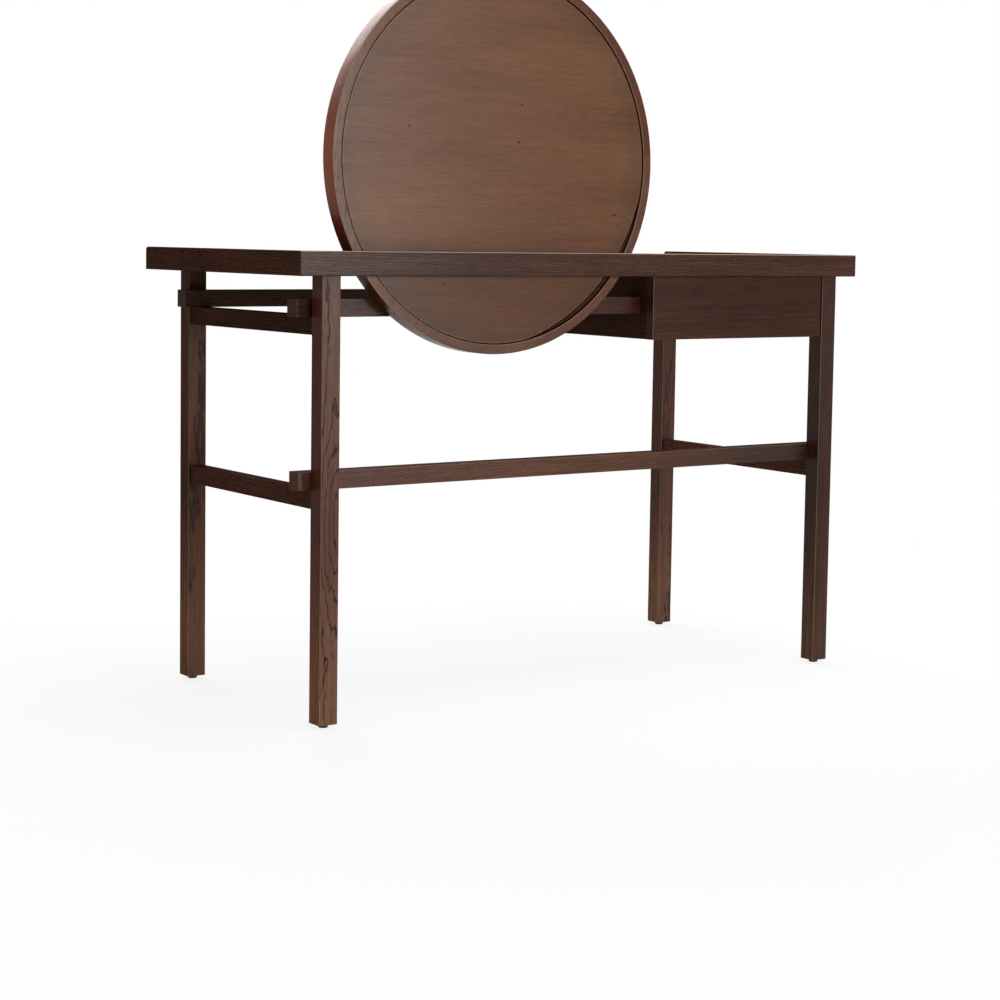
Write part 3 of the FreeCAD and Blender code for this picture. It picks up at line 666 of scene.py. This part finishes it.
def ease_edges(names):
    """Welds the seams of each mesh and bevels its sharp edges."""
    for name in names:
        weld = nodes[name].modifiers.new("weld", "WELD")
        weld.merge_threshold = WELD_REACH
        bevel = nodes[name].modifiers.new("bevel", "BEVEL")
        bevel.width = EDGE_EASE
        bevel.segments = EDGE_STEPS
        bevel.limit_method = "ANGLE"
        bevel.angle_limit = EDGE_ANGLE
        bevel.harden_normals = True


# Floor, world, lamps and camera

FLOOR_SIZE = 60.0
FLOOR_TONE = (0.86, 0.86, 0.86, 1.0)
FLOOR_DULL = 0.9
FADE_START = 0.8
FADE_END = 2.4
NEAR_FADE = 0.85
WORLD_LIGHT = 0.18
WHITE = (1.0, 1.0, 1.0, 1.0)


def seen_directly(tree):
    """One where a surface is seen by the camera, in gloss or through glass, and otherwise zero."""
    path = add(tree, "LightPath").outputs
    seen = maths(tree, "MAXIMUM", path["Is Camera Ray"], path["Is Glossy Ray"])
    return maths(tree, "MAXIMUM", seen, path["Is Transmission Ray"])


def make_floor():
    """A pale floor that keeps the desk's shadow and fades to the white background round it."""
    bpy.ops.mesh.primitive_plane_add(size=FLOOR_SIZE)
    floor = bpy.context.object
    floor.name = "floor"
    material, tree, shader = new_material("floor")
    connect(tree, shader, Base_Color=FLOOR_TONE, Roughness=FLOOR_DULL)
    shader.inputs["Specular IOR Level"].default_value = 0.0
    place = add(tree, "TexCoord").outputs["Object"]
    sockets = {0: vector_maths(tree, "LENGTH", place), 1: FADE_START, 2: FADE_END, 3: NEAR_FADE, 4: 1.0}
    fade = add(tree, "MapRange", sockets, interpolation_type="SMOOTHSTEP").outputs[0]
    fade = maths(tree, "MULTIPLY", fade, seen_directly(tree))
    white = add(tree, "Emission", {"Color": WHITE, "Strength": 1.0})
    blend = add(tree, "MixShader", {0: fade, 1: shader.outputs[0], 2: white.outputs[0]})
    output = next(node for node in tree.nodes if node.type == "OUTPUT_MATERIAL")
    tree.links.new(blend.outputs[0], output.inputs["Surface"])
    floor.data.materials.append(material)


def make_world():
    """White where it is seen directly or in gloss, and a plain level of light otherwise."""
    world = bpy.data.worlds.new("studio")
    scene.world = world
    world.use_nodes = True
    tree = world.node_tree
    tree.nodes.clear()
    light = add(tree, "Background", {"Color": WHITE, "Strength": WORLD_LIGHT})
    white = add(tree, "Background", {"Color": WHITE, "Strength": 1.0})
    blend = add(tree, "MixShader", {0: seen_directly(tree), 1: light.outputs[0], 2: white.outputs[0]})
    output = add(tree, "OutputWorld")
    tree.links.new(blend.outputs[0], output.inputs["Surface"])


def make_lamp(name, place, aim, size, power, colour=(1.0, 1.0, 1.0)):
    lamp = bpy.data.lights.new(name, "AREA")
    lamp.shape = "RECTANGLE"
    lamp.size, lamp.size_y = size
    lamp.energy = power
    lamp.color = colour
    holder = bpy.data.objects.new(name, lamp)
    scene.collection.objects.link(holder)
    holder.location = place
    way = Vector(aim) - Vector(place)
    holder.rotation_euler = way.to_track_quat("-Z", "Y").to_euler()
    holder.visible_camera = False


def make_lamps():
    make_lamp("overhead", (-0.7, 0.2, 3.2), (0.0, 0.0, 0.4), (3.0, 2.0), 80.0)
    make_lamp("back_left", (-2.9, 7.0, 1.6), (0.1, 0.2, 0.8), (1.1, 3.2), 160.0, (0.94, 1.0, 1.03))
    make_lamp("back", (0.3, 6.5, 1.8), (0.1, 0.2, 0.6), (1.6, 3.0), 141.0)
    make_lamp("front", (-0.35, -3.8, 3.0), (0.0, 0.0, 0.8), (3.5, 1.9), 138.0)


# Camera as found from the photograph's straight edges and the mirror's outline

CAMERA_PLACE = (2.3089, 3.2470, 0.7971)
CAMERA_TURN = (85.265, -0.776, 145.658)
CAMERA_LENS = 78.29
CAMERA_SENSOR = 36.0
CAMERA_SHIFT = (0.0298, -0.0843)


def make_camera():
    camera = bpy.data.cameras.new("camera")
    camera.sensor_width = CAMERA_SENSOR
    camera.lens = CAMERA_LENS
    camera.shift_x, camera.shift_y = CAMERA_SHIFT
    holder = bpy.data.objects.new("camera", camera)
    scene.collection.objects.link(holder)
    holder.location = CAMERA_PLACE
    holder.rotation_euler = Euler([math.radians(angle) for angle in CAMERA_TURN])
    scene.camera = holder


dress_frame()
dress_mirror()
dress_plain_wood()
dress_fittings()
ease_edges([name for name in nodes if name.startswith(EASED)])
make_floor()
make_world()
make_lamps()
make_camera()
scene.view_settings.view_transform = "Standard"
